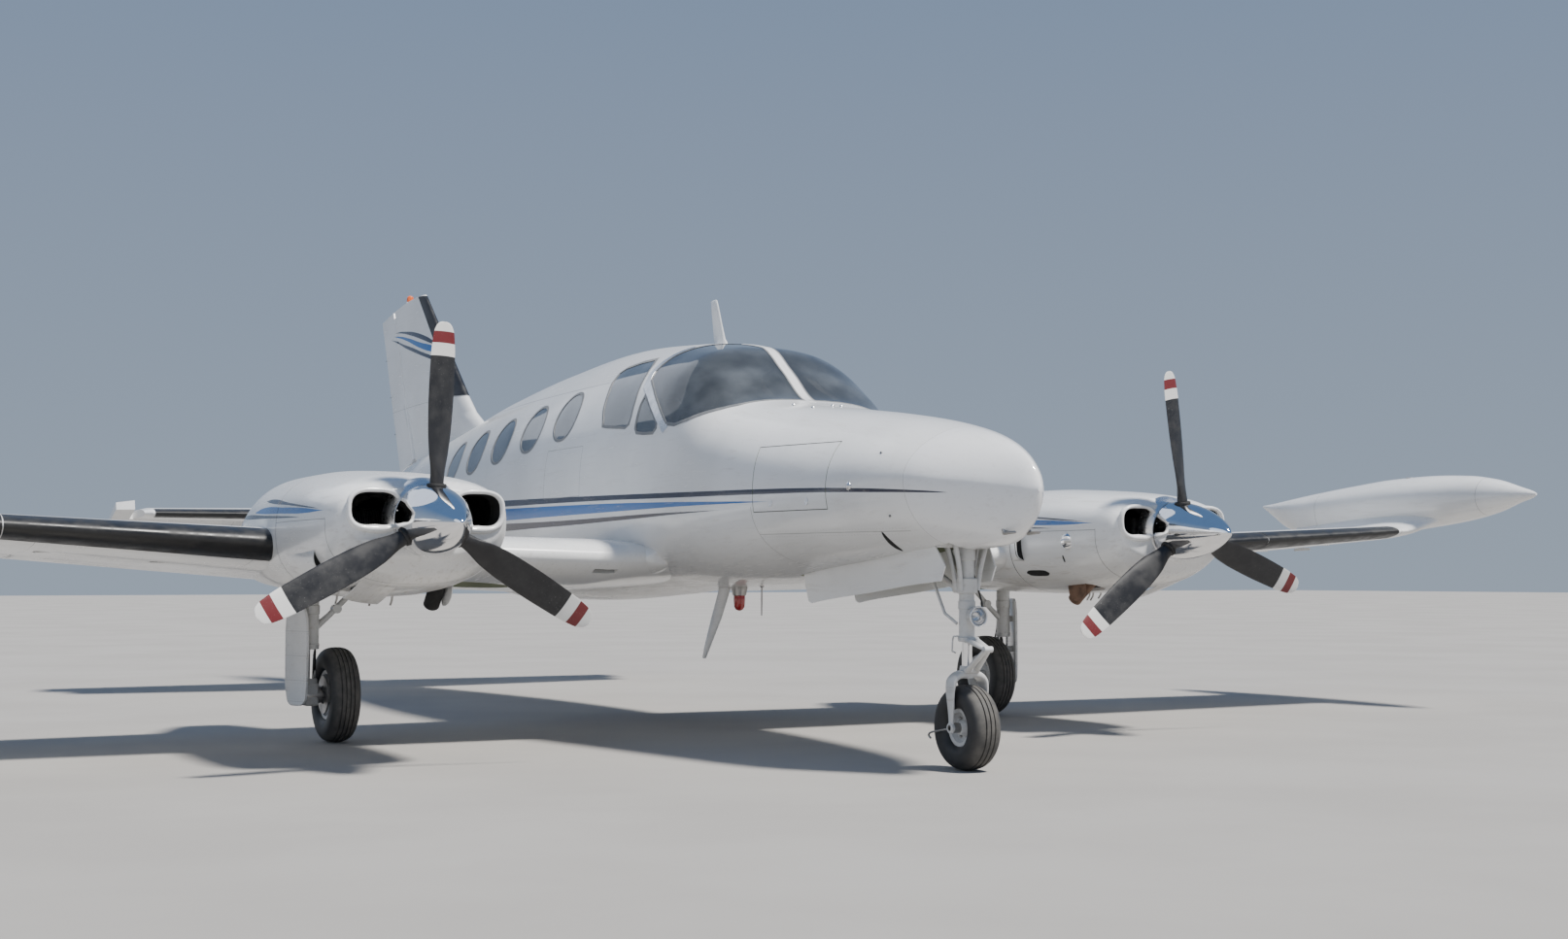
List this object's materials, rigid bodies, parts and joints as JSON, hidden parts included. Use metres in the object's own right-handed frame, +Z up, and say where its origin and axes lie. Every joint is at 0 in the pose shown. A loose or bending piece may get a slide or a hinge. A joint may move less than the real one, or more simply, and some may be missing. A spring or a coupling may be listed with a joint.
{
  "type": "light aircraft",
  "caption": "Low-wing pressurised twin piston light aircraft with tip tanks, three-blade propellers, airstair door and retractable nose-wheel gear, parked.",
  "frame": {"origin": "on the ground, below the middle of the bounding box", "axes": "+Z up, -Y towards the nose, +Y towards the tail, +X towards the left wing tip"},
  "size_m": [12.146, 10.2901, 3.478],
  "materials": {
    "white_skin": "glossy white paint over aluminium sheet, with blue stripes",
    "white_fore": "glossy white paint, with blue stripes",
    "tinted_glass": "smoky clear acrylic",
    "gear_steel": "white and bare metal, oily",
    "engine_iron": "dull grey",
    "rubber": "black, dusty",
    "polished": "polished mirror bright",
    "blade_black": "matt black with white and red tips",
    "cabin_cloth": "tan upholstery",
    "cabin_trim": "matt dark"
  },
  "bodies": {
    "airframe": {"cabin_belly": "white_skin", "cabin_roof": "white_skin", "tail_section": "white_skin", "tailplane": "white_skin", "fin": "white_skin", "cabin_side_left": "white_skin", "cabin_side_right": "white_skin", "wing_left": "white_skin", "wing_right": "white_skin", "tip_tank_left": "white_skin", "tip_tank_right": "white_skin", "nacelle_left": "white_skin", "nacelle_right": "white_skin", "main_leg_door_left": "white_skin", "main_leg_door_right": "white_skin", "nose_gear_door_left": "white_skin", "nose_gear_door_right": "white_skin", "nose_cone": "white_fore", "nose_section": "white_fore", "cowl_left": "white_fore", "cowl_right": "white_fore", "side_glass_left": "tinted_glass", "side_glass_right": "tinted_glass", "windshield_left": "tinted_glass", "windshield_right": "tinted_glass", "nose_leg": "gear_steel", "main_leg_left": "gear_steel", "main_leg_right": "gear_steel", "engine_left": "engine_iron", "engine_right": "engine_iron", "seats_left": "cabin_cloth", "seats_right": "cabin_cloth", "instrument_panel": "cabin_trim"},
    "left_propeller": {"propeller_left": "blade_black", "spinner_left": "polished"},
    "right_propeller": {"propeller_right": "blade_black", "spinner_right": "polished"},
    "left_main_wheel": {"main_left_tyre": "rubber", "main_left_rim": "gear_steel"},
    "right_main_wheel": {"main_right_tyre": "rubber", "main_right_rim": "gear_steel"},
    "nose_steering": {"nose_fork": "gear_steel"},
    "nose_wheel": {"nose_tyre": "rubber", "nose_rim": "gear_steel"},
    "elevator": {"elevator_left": "white_skin", "elevator_right": "white_skin"},
    "rudder": {"rudder": "white_skin"},
    "left_aileron": {"aileron_left": "white_skin"},
    "right_aileron": {"aileron_right": "white_skin"},
    "left_inner_flap": {"flap_inner_left": "white_skin"},
    "right_inner_flap": {"flap_inner_right": "white_skin"},
    "left_outer_flap": {"flap_outer_left": "white_skin"},
    "right_outer_flap": {"flap_outer_right": "white_skin"},
    "airstair_top": {"airstair_upper": "white_skin", "airstair_glass": "tinted_glass"},
    "airstair_steps": {"airstair_lower": "white_skin"},
    "left_nose_door": {"nose_door_left": "white_fore"},
    "right_nose_door": {"nose_door_right": "white_fore"},
    "left_locker_lid": {"locker_lid_left": "white_skin"},
    "right_locker_lid": {"locker_lid_right": "white_skin"}
  },
  "joints": [
    {"name": "left_propeller_spin", "type": "hinge", "parent": "airframe", "child": "left_propeller", "pos_m": [2.356, -3.405, 1.226], "axis": [0, -0.9987, -0.0506], "continuous": true},
    {"name": "right_propeller_spin", "type": "hinge", "parent": "airframe", "child": "right_propeller", "pos_m": [-2.356, -3.405, 1.226], "axis": [0, -0.9987, -0.0506], "continuous": true},
    {"name": "left_main_wheel_roll", "type": "hinge", "parent": "airframe", "child": "left_main_wheel", "pos_m": [2.27, -1.413, 0.27268], "axis": [1, 0, 0], "continuous": true},
    {"name": "right_main_wheel_roll", "type": "hinge", "parent": "airframe", "child": "right_main_wheel", "pos_m": [-2.27, -1.413, 0.27268], "axis": [1, 0, 0], "continuous": true},
    {"name": "nose_steer", "type": "hinge", "parent": "airframe", "child": "nose_steering", "pos_m": [0, -4.528, 0.55], "axis": [0, 0, 1], "range_deg": [-55, 55]},
    {"name": "nose_wheel_roll", "type": "hinge", "parent": "nose_steering", "child": "nose_wheel", "pos_m": [0, -4.525, 0.20998], "axis": [1, 0, 0], "continuous": true},
    {"name": "elevator_hinge", "type": "hinge", "parent": "airframe", "child": "elevator", "pos_m": [0, 4.06, 1.447], "axis": [1, 0, 0], "range_deg": [0, 42]},
    {"name": "rudder_hinge", "type": "hinge", "parent": "airframe", "child": "rudder", "pos_m": [0, 4.05, 1.975], "axis": [0, 0.4227, 0.9063], "range_deg": [-25, 25]},
    {"name": "left_aileron_hinge", "type": "hinge", "parent": "airframe", "child": "left_aileron", "pos_m": [4.01, -1.13673, 1.10949], "axis": [0.9955, -0.0599, 0.0739], "range_deg": [-20, 20]},
    {"name": "right_aileron_hinge", "type": "hinge", "parent": "airframe", "child": "right_aileron", "pos_m": [-4.01, -1.13673, 1.10949], "axis": [0.9955, 0.0599, -0.0739], "range_deg": [-20, 20]},
    {"name": "left_inner_flap_hinge", "type": "hinge", "parent": "airframe", "child": "left_inner_flap", "pos_m": [0.905, -0.94191, 0.86561], "axis": [-0.9971, 0.0614, -0.0459], "range_deg": [0, 45]},
    {"name": "right_inner_flap_hinge", "type": "hinge", "parent": "airframe", "child": "right_inner_flap", "pos_m": [-0.905, -0.94191, 0.86561], "axis": [-0.9971, -0.0614, 0.0459], "range_deg": [0, 45]},
    {"name": "left_outer_flap_hinge", "type": "hinge", "parent": "airframe", "child": "left_outer_flap", "pos_m": [2.81, -1.05852, 0.97151], "axis": [-0.9946, 0.0599, -0.0849], "range_deg": [0, 45]},
    {"name": "right_outer_flap_hinge", "type": "hinge", "parent": "airframe", "child": "right_outer_flap", "pos_m": [-2.81, -1.05852, 0.97151], "axis": [-0.9946, -0.0599, 0.0849], "range_deg": [0, 45]},
    {"name": "airstair_top_hinge", "type": "hinge", "parent": "airframe", "child": "airstair_top", "pos_m": [0.47708, 1.04179, 2.049], "axis": [0.1698, -0.9855, 0], "range_deg": [0, 72]},
    {"name": "airstair_steps_hinge", "type": "hinge", "parent": "airframe", "child": "airstair_steps", "pos_m": [0.54925, 1.05012, 1.026], "axis": [-0.1499, 0.9887, 0], "range_deg": [0, 122]},
    {"name": "left_nose_door_hinge", "type": "hinge", "parent": "airframe", "child": "left_nose_door", "pos_m": [0.41706, -4.04296, 1.632], "axis": [-0.2475, -0.9689, 0], "range_deg": [0, 90]},
    {"name": "right_nose_door_hinge", "type": "hinge", "parent": "airframe", "child": "right_nose_door", "pos_m": [-0.41706, -4.04296, 1.632], "axis": [-0.2475, 0.9689, 0], "range_deg": [0, 90]},
    {"name": "left_locker_lid_hinge", "type": "hinge", "parent": "airframe", "child": "left_locker_lid", "pos_m": [2.565, -1.66, 1.49238], "axis": [0, 0.9888, -0.149], "range_deg": [0, 80]},
    {"name": "right_locker_lid_hinge", "type": "hinge", "parent": "airframe", "child": "right_locker_lid", "pos_m": [-2.565, -1.66, 1.49238], "axis": [0, -0.9888, 0.149], "range_deg": [0, 80]}
  ],
  "couplings": [
    {"joint": "right_aileron_hinge", "follows": "left_aileron_hinge", "ratio": -1},
    {"joint": "left_outer_flap_hinge", "follows": "left_inner_flap_hinge", "ratio": 1},
    {"joint": "right_inner_flap_hinge", "follows": "left_inner_flap_hinge", "ratio": 1},
    {"joint": "right_outer_flap_hinge", "follows": "left_inner_flap_hinge", "ratio": 1}
  ]
}
